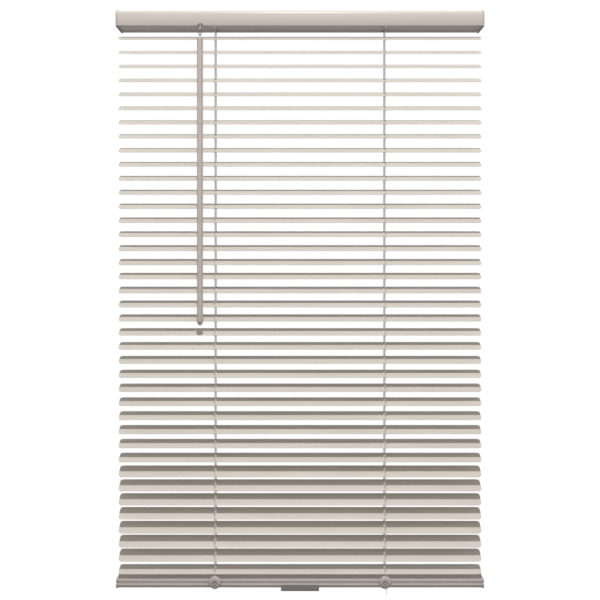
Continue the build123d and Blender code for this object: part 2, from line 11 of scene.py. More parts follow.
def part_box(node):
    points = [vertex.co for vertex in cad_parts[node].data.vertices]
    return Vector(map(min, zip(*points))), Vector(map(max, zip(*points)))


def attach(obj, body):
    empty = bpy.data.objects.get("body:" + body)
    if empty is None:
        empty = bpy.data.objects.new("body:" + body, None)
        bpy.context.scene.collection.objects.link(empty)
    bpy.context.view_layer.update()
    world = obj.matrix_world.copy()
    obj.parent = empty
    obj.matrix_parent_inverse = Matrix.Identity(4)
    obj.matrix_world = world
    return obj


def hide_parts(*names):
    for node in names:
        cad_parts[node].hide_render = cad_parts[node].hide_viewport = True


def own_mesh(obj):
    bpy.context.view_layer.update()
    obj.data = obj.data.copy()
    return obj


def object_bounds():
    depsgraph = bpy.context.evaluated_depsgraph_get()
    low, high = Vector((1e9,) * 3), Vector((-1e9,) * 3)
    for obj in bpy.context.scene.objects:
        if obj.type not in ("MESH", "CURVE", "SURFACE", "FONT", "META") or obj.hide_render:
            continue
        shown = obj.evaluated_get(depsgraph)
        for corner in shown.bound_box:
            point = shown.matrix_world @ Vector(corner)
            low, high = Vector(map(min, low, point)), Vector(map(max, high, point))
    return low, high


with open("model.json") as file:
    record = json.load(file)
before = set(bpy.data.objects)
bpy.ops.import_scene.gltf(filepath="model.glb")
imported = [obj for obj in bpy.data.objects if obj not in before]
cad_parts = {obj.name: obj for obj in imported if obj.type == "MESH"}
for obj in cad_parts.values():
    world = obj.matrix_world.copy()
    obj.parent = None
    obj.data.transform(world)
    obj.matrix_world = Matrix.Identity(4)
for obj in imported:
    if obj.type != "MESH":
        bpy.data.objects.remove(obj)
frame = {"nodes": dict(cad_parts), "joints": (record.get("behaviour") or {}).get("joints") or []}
cad_low, cad_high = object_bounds()

bl_info = {
    "name": "Vinyl mini blind",
    "version": (1, 0, 0),
    "blender": (4, 5, 0),
    "location": "View3D > Sidebar > Blind",
    "description": "Finishes, string ladders, lift cords and studio for a vinyl mini blind",
    "category": "Object",
}

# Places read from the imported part
joint_place = {joint["name"]: Vector(joint["pos_m"]) for joint in frame["joints"]}
slat_names = sorted(name for name in frame["nodes"] if name.startswith("slat_"))
slat_places = {name: joint_place[name + "_tilt"] for name in slat_names}
rod_place = joint_place["tilt_rod_turn"]
rail_low, rail_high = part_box("bottom_rail")
button_low, button_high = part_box("ladder_buttons")
ladder_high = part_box("ladder_cords")[1]
lift_low, lift_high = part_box("lift_cords")
rail_middle = (rail_low.z + rail_high.z) / 2

# Ladders and lift cords, with the side of the middle that each hangs on
SIDES = (("left", -1), ("right", 1))

# Section of a slat
SLAT_RISE = 0.0022
SLAT_THICKNESS = 0.0005
SLAT_WIDTH = 0.0254

# Strands, sides and steps of the cords and knots
ROUTE_STEPS = 240
ROUTE_ORDER = 3
TURN_STEPS = 7
STRAND_SWELL = 1.12
STRING_STRANDS = 2
LIFT_STRANDS = 3
RUNG_SIDES = 6
BEAD_SEGMENTS = 8
BEAD_RINGS = 6
KNOT_SEGMENTS = 14
KNOT_SIDES = 6
SMOOTH_ANGLE = math.radians(40)

# Knots, as shares of the string that they are tied in
BEAD_SHARE = 0.8
BEAD_SQUEEZE = (0.8, 0.8, 1.25)
KNOT_REACH_SHARE = 1.25
KNOT_STRING_SHARE = 0.6

# Levels of a noise between which colours and roughness change
SPREAD_FROM = 0.3
SPREAD_TO = 0.7
TINT_FROM = 0.32
TINT_TO = 0.68

# Sockets of a mix of two colours
MIX_FIRST = 6
MIX_SECOND = 7
MIX_RESULT = 2

# Camera, and the heights and depth at which the soft fill changes
SENSOR_WIDTH = 36.0
NEAR_CLIP = 0.01
FILL_BELOW_AT = 0.32
FILL_LEVEL_AT = 0.56
FILL_ABOVE_AT = 0.95
FILL_DEPTH = 0.4


def slat_tilt(name):
    """Tilt of a slat at rest, from the spread of its points about its middle line."""
    points = [vertex.co for vertex in frame["nodes"][name].data.vertices]
    middle = sum(points, Vector()) / len(points)
    across = sum((point.y - middle.y) ** 2 for point in points)
    along = sum((point.z - middle.z) ** 2 for point in points)
    both = sum((point.y - middle.y) * (point.z - middle.z) for point in points)
    return math.atan2(2 * both, across - along) / 2


def colour(name, words, value):
    """A colour a user may change."""
    return FloatVectorProperty(
        name=name, description=words, default=value, subtype="COLOR", size=3, min=0.0, max=1.0
    )


def length(name, words, value):
    """A length a user may change, in metres."""
    return FloatProperty(name=name, description=words, default=value, unit="LENGTH", min=0.0, precision=5)


def share(name, words, value):
    """A share from zero to one that a user may change."""
    return FloatProperty(name=name, description=words, default=value, subtype="FACTOR", min=0.0, max=1.0)


class BlindFinishes(bpy.types.PropertyGroup):
    """Colours and gloss of the blind's materials."""

    slat_colour: colour("Slat vinyl", "Colour of the slats", (0.62, 0.575, 0.52))
    headrail_colour: colour("Headrail enamel", "Colour of the painted headrail", (0.605, 0.56, 0.515))
    # The rail's vinyl is darker than the slats' partly as painted shade, standing in for the dimmer light low
    # on the blind.
    rail_shaded_colour: colour("Rail vinyl", "Colour of the bottom rail", (0.50, 0.452, 0.425))
    trim_colour: colour("Trim plastic", "Colour of the headrail's end caps", (0.475, 0.435, 0.405))
    # A darker copy of the trim plastic for the lower parts: painted shade for the dimmer light low on the
    # blind.
    rail_trim_shaded_colour: colour("Rail trim", "Colour of the rail's caps and buttons", (0.45, 0.402, 0.38))
    handle_colour: colour("Handle plastic", "Colour of the lift handle", (0.215, 0.20, 0.185))
    wand_colour: colour("Wand plastic", "Colour of the tilt wand", (0.63, 0.56, 0.52))
    mechanism_colour: colour("Mechanism plastic", "Colour of the moulded parts inside", (0.72, 0.71, 0.68))
    steel_colour: colour("Steel", "Colour of the wire hook and the tilt rod", (0.13, 0.125, 0.12))
    # The stem's plastic is darkened partly as painted shade, for the shadowed port it sits in.
    stem_shaded_colour: colour("Stem plastic", "Colour of the tilter's stem", (0.28, 0.258, 0.238))
    cord_colour: colour("Cord fibre", "Colour of the strings and lift cords", (0.50, 0.47, 0.43))
    slat_roughness: share("Slat roughness", "Roughness of the slats' satin face", 0.5)
    enamel_roughness: share("Enamel roughness", "Roughness of the headrail's paint", 0.32)
    rail_roughness: share("Rail roughness", "Roughness of the bottom rail", 0.36)
    trim_roughness: share("Trim roughness", "Roughness of the caps, the buttons and the stem", 0.42)
    handle_roughness: share("Handle roughness", "Roughness of the lift handle", 0.38)
    wand_roughness: share("Wand roughness", "Roughness of the tilt wand", 0.24)
    wand_clearness: share("Wand clearness", "How far light passes through the tilt wand", 0.18)
    mechanism_roughness: share("Mechanism roughness", "Roughness of the parts inside", 0.5)
    slat_streaks: FloatProperty(name="Slat streaks", description="Fineness of the streaks", default=900.0)
    rail_streaks: FloatProperty(name="Rail streaks", description="Fineness of the streaks", default=700.0)


class BlindCords(bpy.types.PropertyGroup):
    """Sizes of the string ladders and lift cords."""

    string_diameter: length("String", "Thickness of a ladder string", 0.0009)
    string_twist: length("String twist", "Length of one turn of a ladder string's strands", 0.0042)
    rung_diameter: length("Rung", "Thickness of a cross string under a slat", 0.0005)
    rung_spread: length("Rung spread", "Distance of each cross string from the ladder's middle", 0.0022)
    lift_diameter: length("Lift cord", "Thickness of a lift cord", 0.0012)
    lift_twist: length("Lift cord twist", "Length of one turn of a lift cord's strands", 0.006)
    room_keep: share("Room string keep", "Share of a room string's spread left with the slats shut", 0.66)
    window_keep: share(
        "Window string keep", "Share of a window string's spread left with the slats shut", 0.38
    )
    drum_spread: length("Drum spread", "Distance from the rod at which a string leaves its drum", 0.0074)
    string_bend: length("String bend", "Height above the first slat at which a string turns down", 0.006)
    string_settle: length("String settle", "Length over which a string turns down", 0.010)
    lift_bend: length("Lift cord bend", "Reach of the bend where a lift cord turns down", 0.007)
    tail_length: length("Tail", "Length of the loose end below a ladder button", 0.007)
    well_radius: length("Well", "Radius of a ladder button's well", 0.0042)
    well_depth: length("Well depth", "Depth of a ladder button's well", 0.002)
    knot_turns: IntProperty(name="Knot turns", description="Turns of an end knot", default=3, min=1, max=6)
    knot_lean: FloatProperty(
        name="Knot lean", description="Lean of each turn", default=math.radians(24), subtype="ANGLE"
    )
    strand_sides: IntProperty(name="Strand sides", description="Sides of a strand", default=5, min=3, max=12)


class BlindStage(bpy.types.PropertyGroup):
    """Camera, lamps and floor."""

    lens: FloatProperty(name="Lens", description="Focal length", default=51.0, unit="CAMERA", min=1.0)
    camera_distance: length("Camera distance", "Camera distance in front of the headrail's back", 1.377)
    camera_drop: length("Camera drop", "Camera height below the headrail's middle", 0.350)
    frame_shift: FloatProperty(name="Frame shift", description="Lens shift down", default=-0.098)
    key_power: FloatProperty(name="Key", description="Power of the key lamp", default=58.0, min=0.0)
    key_radius: length("Key size", "Radius of the key lamp", 0.11)
    key_distance: length("Key distance", "Distance of the key lamp in front of the headrail's back", 1.13)
    key_height: length("Key height", "Height of the key lamp above the headrail's middle", 1.40)
    fill_above: FloatProperty(name="Fill above", description="Soft fill from overhead", default=0.18, min=0.0)
    fill_level: FloatProperty(
        name="Fill level", description="Soft fill from eye height", default=1.13, min=0.0
    )
    fill_below: FloatProperty(name="Fill below", description="Soft fill from below", default=0.05, min=0.0)
    fill_behind: share("Fill behind", "Share of the soft fill that comes from the window side", 0.72)
    fill_colour: colour("Fill colour", "Colour of the soft fill", (1.0, 0.975, 0.945))
    mirror_depth: share("Mirror depth", "Depth below level at which mirrored white fades out", 0.75)
    floor_drop: length("Floor drop", "Floor distance below the lift handle", 0.55)
    floor_reach: length("Floor reach", "Radius at which the floor fades out", 1.7)
    floor_colour: colour("Floor", "Colour of the pale floor", (0.88, 0.87, 0.86))


def settings():
    """The scene's blind settings."""
    scene = bpy.context.scene
    return scene.blind_finishes, scene.blind_cords, scene.blind_stage


def clear_selection():
    """Leave edit mode and deselect every object."""
    if bpy.context.object is not None and bpy.context.object.mode != "OBJECT":
        bpy.ops.object.mode_set(mode="OBJECT")
    bpy.ops.object.select_all(action="DESELECT")


class NodeTree:
    """Small helper that adds and links nodes of one material."""

    def __init__(self, name):
        self.material = bpy.data.materials.new(name)
        self.material.use_nodes = True
        self.tree = self.material.node_tree
        self.shader = self.tree.nodes["Principled BSDF"]
        self.coordinates = self.add("ShaderNodeTexCoord").outputs["Object"]

    def add(self, kind, **values):
        """Add a node, setting its properties and its unlinked sockets by name."""
        node = self.tree.nodes.new(kind)
        for key, value in values.items():
            if hasattr(node, key):
                setattr(node, key, value)
            else:
                node.inputs[key].default_value = value
        return node

    def link(self, output, target):
        """Join an output to an input."""
        self.tree.links.new(output, target)

    def noise(self, scale, stretch=(1.0, 1.0, 1.0), detail=3.0):
        """Noise on Object coordinates, stretched along the axes, as a number from zero to one."""
        mapping = self.add("ShaderNodeMapping", Scale=stretch)
        self.link(self.coordinates, mapping.inputs["Vector"])
        noise = self.add("ShaderNodeTexNoise", Scale=scale, Detail=detail)
        self.link(mapping.outputs["Vector"], noise.inputs["Vector"])
        return noise.outputs["Fac"]

    def spread(self, value, low, high):
        """Map a number from zero to one onto a range."""
        node = self.add("ShaderNodeMapRange")
        node.inputs["From Min"].default_value = SPREAD_FROM
        node.inputs["From Max"].default_value = SPREAD_TO
        node.inputs["To Min"].default_value = low
        node.inputs["To Max"].default_value = high
        self.link(value, node.inputs["Value"])
        return node.outputs["Result"]

    def tint(self, value, dark, light):
        """Blend two colours by a number from zero to one."""
        ramp = self.add("ShaderNodeValToRGB")
        ramp.color_ramp.elements[0].position = TINT_FROM
        ramp.color_ramp.elements[1].position = TINT_TO
        ramp.color_ramp.elements[0].color = (*dark, 1.0)
        ramp.color_ramp.elements[1].color = (*light, 1.0)
        self.link(value, ramp.inputs["Fac"])
        return ramp.outputs["Color"]

    def bump(self, heights, distance, strength):
        """Stack bumps from several height values onto the shader's normal."""
        last = None
        for height, reach, power in zip(heights, distance, strength):
            node = self.add("ShaderNodeBump")
            node.inputs["Strength"].default_value = power
            node.inputs["Distance"].default_value = reach
            self.link(height, node.inputs["Height"])
            if last is not None:
                self.link(last, node.inputs["Normal"])
            last = node.outputs["Normal"]
        self.link(last, self.shader.inputs["Normal"])

    def set(self, **values):
        """Set the shader's own sockets, with underscores for spaces."""
        for key, value in values.items():
            self.shader.inputs[key.replace("_", " ")].default_value = value


def grey(level):
    """A grey, with one level in every channel."""
    return (level, level, level, 1.0)


def shade(value, factor):
    """A colour made darker or lighter by a factor."""
    return tuple(min(1.0, channel * factor) for channel in value)


def drawn_vinyl(name, base, roughness, streak_scale):
    """Extruded vinyl: satin, with faint drawing lines along the length and a fine grain."""
    tree = NodeTree(name)
    streaks = tree.noise(streak_scale, stretch=(0.004, 1.0, 1.0), detail=4.0)
    cloud = tree.noise(scale=9.0, stretch=(1.0, 4.0, 4.0), detail=2.0)
    grain = tree.noise(scale=2600.0)
    colour_mix = tree.add("ShaderNodeMix", data_type="RGBA", blend_type="MULTIPLY")
    colour_mix.inputs["Factor"].default_value = 1.0
    tree.link(tree.tint(cloud, shade(base, 0.965), shade(base, 1.03)), colour_mix.inputs[MIX_FIRST])
    tree.link(tree.tint(streaks, (0.95, 0.95, 0.95), (1.0, 1.0, 1.0)), colour_mix.inputs[MIX_SECOND])
    tree.link(colour_mix.outputs[MIX_RESULT], tree.shader.inputs["Base Color"])
    tree.link(tree.spread(streaks, roughness - 0.05, roughness + 0.06), tree.shader.inputs["Roughness"])
    tree.bump((streaks, grain), distance=(0.00004, 0.00001), strength=(0.35, 0.25))
    tree.set(IOR=1.52, Specular_IOR_Level=0.2)
    return tree.material


def rolled_enamel(name, base, roughness):
    """Baked paint on rolled steel: low gloss with a faint orange peel."""
    tree = NodeTree(name)
    peel = tree.noise(scale=900.0, detail=2.0)
    cloud = tree.noise(scale=6.0, stretch=(0.4, 3.0, 3.0), detail=2.0)
    tree.link(tree.tint(cloud, shade(base, 0.97), shade(base, 1.025)), tree.shader.inputs["Base Color"])
    tree.link(tree.spread(peel, roughness - 0.04, roughness + 0.05), tree.shader.inputs["Roughness"])
    tree.bump((peel,), distance=(0.00004,), strength=(0.22,))
    tree.set(IOR=1.5, Specular_IOR_Level=0.3)
    return tree.material


def moulded_plastic(name, base, roughness, transmission=0.0):
    """Moulded plastic: a fine even texture with slow colour drift."""
    tree = NodeTree(name)
    texture = tree.noise(scale=1500.0, detail=2.0)
    cloud = tree.noise(scale=40.0, detail=2.0)
    tree.link(tree.tint(cloud, shade(base, 0.94), shade(base, 1.04)), tree.shader.inputs["Base Color"])
    tree.link(tree.spread(texture, roughness - 0.05, roughness + 0.07), tree.shader.inputs["Roughness"])
    tree.bump((texture,), distance=(0.00003,), strength=(0.3,))
    tree.set(IOR=1.49, Transmission_Weight=transmission)
    return tree.material


def drawn_steel(name, base):
    """Drawn wire and rod: metal with fine lengthwise scratches."""
    tree = NodeTree(name)
    scratches = tree.noise(scale=700.0, stretch=(1.0, 1.0, 0.05), detail=4.0)
    tree.link(tree.tint(scratches, shade(base, 0.8), shade(base, 1.12)), tree.shader.inputs["Base Color"])
    tree.link(tree.spread(scratches, low=0.28, high=0.46), tree.shader.inputs["Roughness"])
    tree.bump((scratches,), distance=(0.00002,), strength=(0.25,))
    tree.set(Metallic=1.0)
    return tree.material


def spun_fibre(name, base):
    """Spun polyester: soft fibres along the strand, with a little sheen."""
    tree = NodeTree(name)
    fibres = tree.noise(scale=2400.0, stretch=(1.0, 1.0, 0.2))
    tree.link(tree.tint(fibres, shade(base, 0.72), shade(base, 1.16)), tree.shader.inputs["Base Color"])
    tree.link(tree.spread(fibres, low=0.66, high=0.86), tree.shader.inputs["Roughness"])
    tree.bump((fibres,), distance=(0.00006,), strength=(0.5,))
    tree.set(Sheen_Weight=0.2, Sheen_Roughness=0.5)
    return tree.material


def finish(material, *names):
    """Put a material on CAD nodes."""
    for name in names:
        node = frame["nodes"][name]
        node.data.materials.clear()
        node.data.materials.append(material)


def shared_material(name, make):
    """A material made once and used by several operators."""
    found = bpy.data.materials.get(name)
    return found if found is not None else make()


def cord_material():
    """The fibre of every string and cord."""
    finishes, _, _ = settings()
    return shared_material("cord_fibre_spun", lambda: spun_fibre("cord_fibre_spun", finishes.cord_colour[:]))


def steel_material():
    """The steel of the tilt rod and the wire hook."""
    finishes, _, _ = settings()
    return shared_material("drawn_steel", lambda: drawn_steel("drawn_steel", finishes.steel_colour[:]))


def route_line(points, name):
    """Points along a smooth line through a route's control points, in order from its first point."""
    data = bpy.data.curves.new(name, "CURVE")
    data.dimensions = "3D"
    data.resolution_u = ROUTE_STEPS
    spline = data.splines.new("NURBS")
    spline.points.add(len(points) - 1)
    for point, place in zip(spline.points, points):
        point.co = (*place, 1.0)
    spline.order_u = ROUTE_ORDER
    spline.use_endpoint_u = True
    guide = bpy.data.objects.new(name, data)
    bpy.context.scene.collection.objects.link(guide)
    bpy.context.view_layer.update()
    mesh = bpy.data.meshes.new_from_object(guide)
    line = [vertex.co.copy() for vertex in mesh.vertices]
    bpy.data.objects.remove(guide)
    bpy.data.meshes.remove(mesh)
    bpy.data.curves.remove(data)
    return line


def even_steps(line, step):
    """Points at even steps along a line."""
    steps = [line[0]]
    travelled = 0.0
    wanted = step
    for start, end in zip(line, line[1:]):
        run = (end - start).length
        while run > 0 and travelled + run >= wanted:
            steps.append(start.lerp(end, (wanted - travelled) / run))
            wanted += step
        travelled += run
    return steps


def twisted_strands(name, points, diameter, twist, strands, sides):
    """A rope of strands wound round a route, closed at both ends."""
    line = even_steps(route_line(points, name + "_route"), twist / TURN_STEPS)
    strand_radius = diameter / 2 * math.sin(math.pi / strands) / (1 + math.sin(math.pi / strands))
    wind_radius = diameter / 2 - strand_radius
    shape = bmesh.new()
    side_way = Vector((1, 0, 0))
    rings = [[] for _ in range(strands)]
    for index, place in enumerate(line):
        ahead = line[min(index + 1, len(line) - 1)] - line[max(index - 1, 0)]
        ahead.normalize()
        side_way = (side_way - ahead * side_way.dot(ahead)).normalized()
        up_way = ahead.cross(side_way)
        for strand in range(strands):
            turn = 2 * math.pi * (index / TURN_STEPS + strand / strands)
            out = side_way * math.cos(turn) + up_way * math.sin(turn)
            middle = place + out * wind_radius
            ring = []
            for side in range(sides):
                angle = 2 * math.pi * side / sides
                aside = side_way * math.cos(angle) + up_way * math.sin(angle)
                ring.append(shape.verts.new(middle + aside * strand_radius * STRAND_SWELL))
            rings[strand].append(ring)
    for strand in rings:
        for low, high in zip(strand, strand[1:]):
            for side in range(sides):
                after = (side + 1) % sides
                shape.faces.new((low[side], low[after], high[after], high[side]))
        shape.faces.new(list(reversed(strand[0])))
        shape.faces.new(strand[-1])
    bmesh.ops.recalc_face_normals(shape, faces=shape.faces[:])
    mesh = bpy.data.meshes.new(name)
    shape.to_mesh(mesh)
    shape.free()
    mesh.polygons.foreach_set("use_smooth", [True] * len(mesh.polygons))
    rope = bpy.data.objects.new(name, mesh)
    bpy.context.scene.collection.objects.link(rope)
    return rope


def ladder_reach():
    """Distance of a ladder from the blind's middle, and of its strings from the tilt rod."""
    _, cords, _ = settings()
    half = cords.string_diameter / 2
    return ladder_high.x - half, ladder_high.y - half - rod_place.y


def ladder_string(name, points):
    """A ladder's string along a route."""
    _, cords, _ = settings()
    values = (cords.string_diameter, cords.string_twist, STRING_STRANDS, cords.strand_sides)
    return twisted_strands(name, points, *values)


def add_tube(points, radius, sides, name):
    """A thin tube through points: a ring of vertices extruded from each point to the next."""
    clear_selection()
    first = Vector(points[0])
    way = (Vector(points[1]) - first).normalized()
    turn = way.to_track_quat("Z", "Y").to_euler()
    bpy.ops.mesh.primitive_circle_add(
        vertices=sides, radius=radius, fill_type="NGON", location=first, rotation=turn
    )
    tube = bpy.context.object
    tube.name = name
    bpy.ops.object.transform_apply(location=True, rotation=True, scale=True)
    bpy.ops.object.mode_set(mode="EDIT")
    bpy.ops.mesh.select_all(action="SELECT")
    for start, end in zip(points, points[1:]):
        step = Vector(end) - Vector(start)
        bpy.ops.mesh.extrude_region_move(TRANSFORM_OT_translate={"value": step})
    bpy.ops.mesh.select_all(action="SELECT")
    bpy.ops.mesh.normals_make_consistent(inside=False)
    bpy.ops.object.mode_set(mode="OBJECT")
    return tube


def add_bead(place, radius, squeeze, name):
    """A small rounded knot: a ball squeezed along its length."""
    clear_selection()
    bpy.ops.mesh.primitive_uv_sphere_add(
        segments=BEAD_SEGMENTS, ring_count=BEAD_RINGS, radius=radius, location=place
    )
    bead = bpy.context.object
    bead.name = name
    bead.scale = squeeze
    bpy.ops.object.transform_apply(location=True, rotation=True, scale=True)
    return bead


def join_pieces(pieces, name):
    """One object out of several, at the origin."""
    clear_selection()
    for piece in pieces:
        piece.select_set(True)
    bpy.context.view_layer.objects.active = pieces[0]
    bpy.ops.object.join()
    joined = bpy.context.object
    joined.name = name
    joined.data.name = name
    bpy.ops.object.shade_smooth_by_angle(angle=SMOOTH_ANGLE)
    clear_selection()
    return joined


class BLIND_OT_stage(bpy.types.Operator):
    """Set up the camera, the key lamp, the soft fill, the white background and the pale floor"""

    bl_idname = "blind.stage"
    bl_label = "Studio"

    def execute(self, context):
        _, _, stage = settings()
        scene = context.scene
        scene.view_settings.view_transform = "Standard"
        clear_selection()
        bpy.ops.object.camera_add(
            location=(0.0, -stage.camera_distance, -stage.camera_drop), rotation=(math.pi / 2, 0.0, 0.0)
        )
        camera = context.object
        camera.name = "blind_camera"
        camera.data.lens = stage.lens
        camera.data.sensor_width = SENSOR_WIDTH
        camera.data.shift_y = stage.frame_shift
        camera.data.clip_start = NEAR_CLIP
        scene.camera = camera
        bpy.ops.object.light_add(
            type="POINT", radius=stage.key_radius, location=(0.0, -stage.key_distance, stage.key_height)
        )
        key = context.object
        key.name = "key_lamp"
        key.data.energy = stage.key_power
        key.data.use_nodes = True
        tree = key.data.node_tree
        fade = tree.nodes.new("ShaderNodeLightFalloff")
        fade.inputs["Strength"].default_value = 1.0
        tree.links.new(fade.outputs["Linear"], tree.nodes["Emission"].inputs["Strength"])
        self.make_background(scene, stage)
        self.make_floor(stage)
        return {"FINISHED"}

    def make_background(self, scene, stage):
        """White behind the object and in its reflections above level, and a softer fill light."""
        world = bpy.data.worlds.new("studio_world")
        world.use_nodes = True
        tree = world.node_tree
        fill = tree.nodes["Background"]
        fill.inputs["Color"].default_value = (*stage.fill_colour, 1.0)
        way = tree.nodes.new("ShaderNodeTexCoord")
        split = tree.nodes.new("ShaderNodeSeparateXYZ")
        tree.links.new(way.outputs["Generated"], split.inputs["Vector"])
        height = tree.nodes.new("ShaderNodeMapRange")
        height.inputs["From Min"].default_value = -1.0
        tree.links.new(split.outputs["Z"], height.inputs["Value"])
        ramp = tree.nodes.new("ShaderNodeValToRGB")
        stops = ramp.color_ramp.elements
        stops[0].position = FILL_BELOW_AT
        stops[0].color = grey(stage.fill_below)
        stops[1].position = FILL_ABOVE_AT
        stops[1].color = grey(stage.fill_above)
        stops.new(FILL_LEVEL_AT).color = grey(stage.fill_level)
        tree.links.new(height.outputs["Result"], ramp.inputs["Fac"])
        depth = tree.nodes.new("ShaderNodeMapRange")
        depth.inputs["From Min"].default_value = -FILL_DEPTH
        depth.inputs["From Max"].default_value = FILL_DEPTH
        depth.inputs["To Min"].default_value = 1.0
        depth.inputs["To Max"].default_value = stage.fill_behind
        tree.links.new(split.outputs["Y"], depth.inputs["Value"])
        level = tree.nodes.new("ShaderNodeMath")
        level.operation = "MULTIPLY"
        tree.links.new(ramp.outputs["Color"], level.inputs[0])
        tree.links.new(depth.outputs["Result"], level.inputs[1])
        tree.links.new(level.outputs["Value"], fill.inputs["Strength"])
        white = tree.nodes.new("ShaderNodeBackground")
        white.inputs["Color"].default_value = grey(1.0)
        white.inputs["Strength"].default_value = 1.0
        path = tree.nodes.new("ShaderNodeLightPath")
        above = tree.nodes.new("ShaderNodeMapRange")
        above.inputs["From Min"].default_value = -stage.mirror_depth
        above.inputs["From Max"].default_value = 0.0
        tree.links.new(split.outputs["Z"], above.inputs["Value"])
        mirrored = tree.nodes.new("ShaderNodeMath")
        mirrored.operation = "MULTIPLY"
        tree.links.new(path.outputs["Is Glossy Ray"], mirrored.inputs[0])
        tree.links.new(above.outputs["Result"], mirrored.inputs[1])
        seen = path.outputs["Is Camera Ray"]
        for ray in (mirrored.outputs["Value"], path.outputs["Is Transmission Ray"]):
            either = tree.nodes.new("ShaderNodeMath")
            either.operation = "MAXIMUM"
            tree.links.new(seen, either.inputs[0])
            tree.links.new(ray, either.inputs[1])
            seen = either.outputs["Value"]
        mix = tree.nodes.new("ShaderNodeMixShader")
        tree.links.new(seen, mix.inputs["Fac"])
        tree.links.new(fill.outputs["Background"], mix.inputs[1])
        tree.links.new(white.outputs["Background"], mix.inputs[2])
        tree.links.new(mix.outputs["Shader"], tree.nodes["World Output"].inputs["Surface"])
        scene.world = world

    def make_floor(self, stage):
        """Pale floor well below the hanging blind."""
        clear_selection()
        height = cad_low.z - stage.floor_drop
        bpy.ops.mesh.primitive_plane_add(size=2 * stage.floor_reach, location=(0.0, 0.0, height))
        floor = bpy.context.object
        floor.name = "studio_floor"
        tree = NodeTree("floor_paint")
        cloud = tree.noise(scale=3.0)
        base = stage.floor_colour[:]
        tree.link(tree.tint(cloud, shade(base, 0.985), base), tree.shader.inputs["Base Color"])
        tree.set(Roughness=0.9)
        round_way = tree.add("ShaderNodeMapping", Scale=(*[1 / stage.floor_reach] * 2, 0.0))
        tree.link(tree.coordinates, round_way.inputs["Vector"])
        inward = tree.add("ShaderNodeTexGradient", gradient_type="SPHERICAL")
        tree.link(round_way.outputs["Vector"], inward.inputs["Vector"])
        tree.link(tree.spread(inward.outputs["Fac"], low=0.0, high=1.0), tree.shader.inputs["Alpha"])
        floor.data.materials.append(tree.material)
        floor.visible_diffuse = False


class BLIND_OT_headrail(bpy.types.Operator):
    """Paint the headrail and finish its end caps"""

    bl_idname = "blind.headrail"
    bl_label = "Headrail"

    def execute(self, context):
        finishes, _, _ = settings()
        enamel = rolled_enamel("headrail_enamel", finishes.headrail_colour[:], finishes.enamel_roughness)
        finish(enamel, "headrail")
        trim = moulded_plastic("trim_moulded", finishes.trim_colour[:], finishes.trim_roughness)
        finish(trim, "headrail_left_cap", "headrail_right_cap")
        return {"FINISHED"}


class BLIND_OT_mechanism(bpy.types.Operator):
    """Finish the tilter, the drums, their cradles, the tilt rod and the lift unit"""

    bl_idname = "blind.mechanism"
    bl_label = "Mechanism"

    def execute(self, context):
        finishes, _, _ = settings()
        nylon = moulded_plastic("mechanism_nylon", finishes.mechanism_colour[:], finishes.mechanism_roughness)
        finish(nylon, "tilter_case", "tilter_gear", "ladder_drums", "drum_cradles", "lift_unit")
        # The stem's colour holds painted shade for the shadowed port around it.
        stem = moulded_plastic("stem_moulded_shaded", finishes.stem_shaded_colour[:], finishes.trim_roughness)
        finish(stem, "tilter_worm")
        finish(steel_material(), "tilt_rod")
        return {"FINISHED"}


class BLIND_OT_slats(bpy.types.Operator):
    """Finish the vinyl slats"""

    bl_idname = "blind.slats"
    bl_label = "Slats"

    def execute(self, context):
        finishes, _, _ = settings()
        slat_values = (finishes.slat_colour[:], finishes.slat_roughness, finishes.slat_streaks)
        vinyl = drawn_vinyl("slat_vinyl_satin", *slat_values)
        finish(vinyl, *slat_names)
        return {"FINISHED"}


class BLIND_OT_ladder_strings(bpy.types.Operator):
    """Wind the four upright strings of the two ladders, from the drums down to the bottom rail"""

    bl_idname = "blind.ladder_strings"
    bl_label = "Ladder strings"

    def execute(self, context):
        _, cords, _ = settings()
        first = slat_places[slat_names[0]]
        half_string = cords.string_diameter / 2
        reach_x, spread = ladder_reach()
        bend = first.z + cords.string_bend
        straight = bend - cords.string_settle
        foots = {"room": button_high.z + half_string, "window": rail_middle}
        for side_name, side in SIDES:
            for face_name, face, keep in (("room", -1, cords.room_keep), ("window", 1, cords.window_keep)):
                x = side * reach_x
                y = rod_place.y + face * spread
                route = [
                    Vector((x, rod_place.y + face * cords.drum_spread, rod_place.z)),
                    Vector((x, y, bend)),
                    Vector((x, y, straight)),
                    Vector((x, y, foots[face_name])),
                ]
                name = f"ladder_string_{side_name}_{face_name}"
                string = ladder_string(name, route)
                string.data.materials.append(cord_material())
                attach(string, "headrail")
                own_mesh(string)
                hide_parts("ladder_cords")
        return {"FINISHED"}


class BLIND_OT_lift_cords(bpy.types.Operator):
    """Wind the two lift cords, from the lift unit over the cradles and down through the slats"""

    bl_idname = "blind.lift_cords"
    bl_label = "Lift cords"

    def execute(self, context):
        _, cords, _ = settings()
        half_cord = cords.lift_diameter / 2
        reach_x = lift_high.x - half_cord
        inner_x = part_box("lift_unit")[1].x
        y = rod_place.y
        level = lift_high.z - half_cord
        foot = lift_low.z
        for side_name, side in SIDES:
            route = [
                Vector((side * inner_x, y, level)),
                Vector((side * (reach_x - cords.lift_bend), y, level)),
                Vector((side * reach_x, y, level)),
                Vector((side * reach_x, y, level - cords.lift_bend)),
                Vector((side * reach_x, y, foot)),
            ]
            name = f"lift_cord_{side_name}"
            cord = twisted_strands(
                name, route, cords.lift_diameter, cords.lift_twist, LIFT_STRANDS, cords.strand_sides
            )
            cord.data.materials.append(cord_material())
            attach(cord, "headrail")
            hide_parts("lift_cords")
        return {"FINISHED"}


